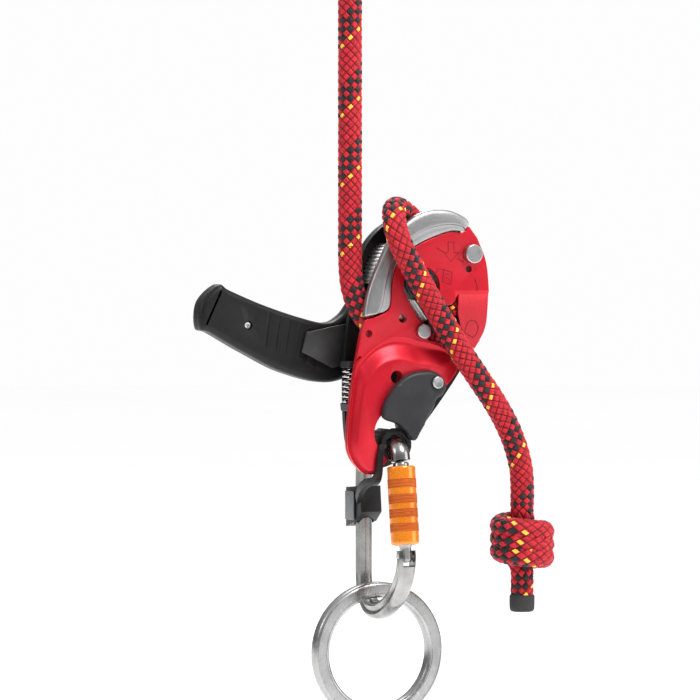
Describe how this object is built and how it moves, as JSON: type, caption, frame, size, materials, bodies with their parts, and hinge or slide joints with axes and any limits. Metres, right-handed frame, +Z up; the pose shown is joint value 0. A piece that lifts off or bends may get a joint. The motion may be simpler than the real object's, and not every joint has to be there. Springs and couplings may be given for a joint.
{
  "type": "rope descender",
  "caption": "self-braking rope descender with hinged side plates and a rear handle, rigged on a rope and clipped to a ring by a locking carabiner",
  "frame": {"origin": "centre of the cam axle, halfway between the two side plates", "axes": "+Z up along the loaded rope, -Y out of the hinged side plate's face, +X to the right seen from that face"},
  "size_m": [0.1974, 0.0746, 0.481],
  "materials": {
    "red_anodised": "satin red anodised alloy",
    "black_anodised": "satin black anodised alloy",
    "satin_steel": "satin, bead blasted and turned",
    "spring_steel": "bright drawn wire",
    "dark_metal": "dark coated steel",
    "polished_aluminium": "brushed and polished forged alloy",
    "sintered_bronze": "matte sintered bronze",
    "charcoal_plastic": "fine-grained moulded plastic",
    "black_plastic": "moulded black plastic",
    "grey_plastic": "moulded grey plastic",
    "yellow_plastic": "moulded yellow plastic",
    "black_rubber": "matte black rubber",
    "orange_anodised": "bright orange anodised alloy, knurled",
    "rope_textile": "braided polyester sheath"
  },
  "bodies": {
    "frame": {"fixed_side_plate": "black_anodised", "hinged_side_plate": "red_anodised", "rope_guide_rim": "satin_steel", "plate_pivot_pin": "satin_steel", "plate_spacer": "satin_steel", "locking_stud": "satin_steel", "friction_block": "satin_steel", "friction_block_pin_1": "satin_steel", "friction_block_pin_2": "satin_steel", "gate_rivet": "satin_steel", "gate_spring": "spring_steel", "cam_axle": "satin_steel", "axle_cap": "charcoal_plastic", "catch_pin": "satin_steel", "catch_spring": "spring_steel", "return_spring": "spring_steel", "spring_holder": "charcoal_plastic", "spring_seat": "charcoal_plastic", "rope_guide_insert": "satin_steel", "rear_cover": "black_plastic", "cover_rivet_1": "satin_steel", "cover_rivet_2": "satin_steel", "rope_live": "rope_textile", "rope_wrap": "rope_textile", "rope_tail": "rope_textile", "rope_eye": "rope_textile", "eye_sleeve": "black_rubber", "stopper_knot": "rope_textile"},
    "cam": {"cam": "satin_steel", "cam_bush": "sintered_bronze", "cam_lever": "satin_steel", "cam_lever_tip": "charcoal_plastic"},
    "handle": {"handle_crank": "dark_metal", "handle_shell_front": "black_plastic", "handle_shell_back": "black_plastic", "handle_screw_1": "satin_steel", "handle_screw_2": "satin_steel", "hub_cap": "black_plastic", "button_spring": "spring_steel"},
    "button": {"handle_button": "yellow_plastic"},
    "safety_gate": {"safety_gate": "charcoal_plastic"},
    "catch": {"anti_error_catch": "satin_steel"},
    "carabiner": {"carabiner_body": "polished_aluminium", "gate_hinge_pin": "satin_steel", "positioning_bar": "black_plastic", "positioning_badge": "grey_plastic", "positioning_bush": "black_rubber"},
    "carabiner_gate": {"carabiner_gate": "polished_aluminium"},
    "collar": {"sleeve_collar": "satin_steel"},
    "sleeve": {"lock_sleeve": "orange_anodised"},
    "ring": {"attachment_ring": "polished_aluminium"}
  },
  "joints": [
    {"name": "handle_turn", "type": "hinge", "parent": "frame", "child": "handle", "pos_m": [0, 0, 0], "axis": [0, -1, 0], "range_deg": [-25, 30]},
    {"name": "cam_turn", "type": "hinge", "parent": "frame", "child": "cam", "pos_m": [0, 0, 0], "axis": [0, -1, 0], "range_deg": [-3, 3.5]},
    {"name": "button_press", "type": "slide", "parent": "handle", "child": "button", "axis": [0, -1, 0], "range_m": [0, 0.003], "stiffness_N_per_m": 300},
    {"name": "safety_gate_swing", "type": "hinge", "parent": "frame", "child": "safety_gate", "pos_m": [0.005, -0.0185, -0.0547], "axis": [0, 1, 0], "range_deg": [0, 8], "stiffness_Nm_per_rad": 0.05},
    {"name": "catch_swing", "type": "hinge", "parent": "frame", "child": "catch", "pos_m": [-0.022, 0, -0.054], "axis": [0, -1, 0], "range_deg": [-10, 12], "stiffness_Nm_per_rad": 0.03},
    {"name": "carabiner_swing", "type": "hinge", "parent": "frame", "child": "carabiner", "pos_m": [-0.0175, 0, -0.0888], "axis": [0, -1, 0], "range_deg": [-6, 20]},
    {"name": "carabiner_gate_swing", "type": "hinge", "parent": "carabiner", "child": "carabiner_gate", "pos_m": [-0.0175, -0.0273, -0.1495], "axis": [-1, 0, 0], "range_deg": [0, 20], "stiffness_Nm_per_rad": 0.12},
    {"name": "sleeve_lift", "type": "slide", "parent": "carabiner_gate", "child": "collar", "axis": [0, 0.1293, 0.9916], "range_m": [0, 0.003], "stiffness_N_per_m": 400},
    {"name": "sleeve_twist", "type": "hinge", "parent": "collar", "child": "sleeve", "pos_m": [-0.0175, -0.0206, -0.0981], "axis": [0, 0.1293, 0.9916], "range_deg": [0, 80], "stiffness_Nm_per_rad": 0.01},
    {"name": "ring_swing", "type": "hinge", "parent": "carabiner", "child": "ring", "pos_m": [-0.0165, 0.012, -0.17055], "axis": [1, 0, 0], "range_deg": [-20, 20]}
  ],
  "couplings": [
    {"joint": "cam_turn", "follows": "handle_turn", "ratio": 0.1}
  ]
}
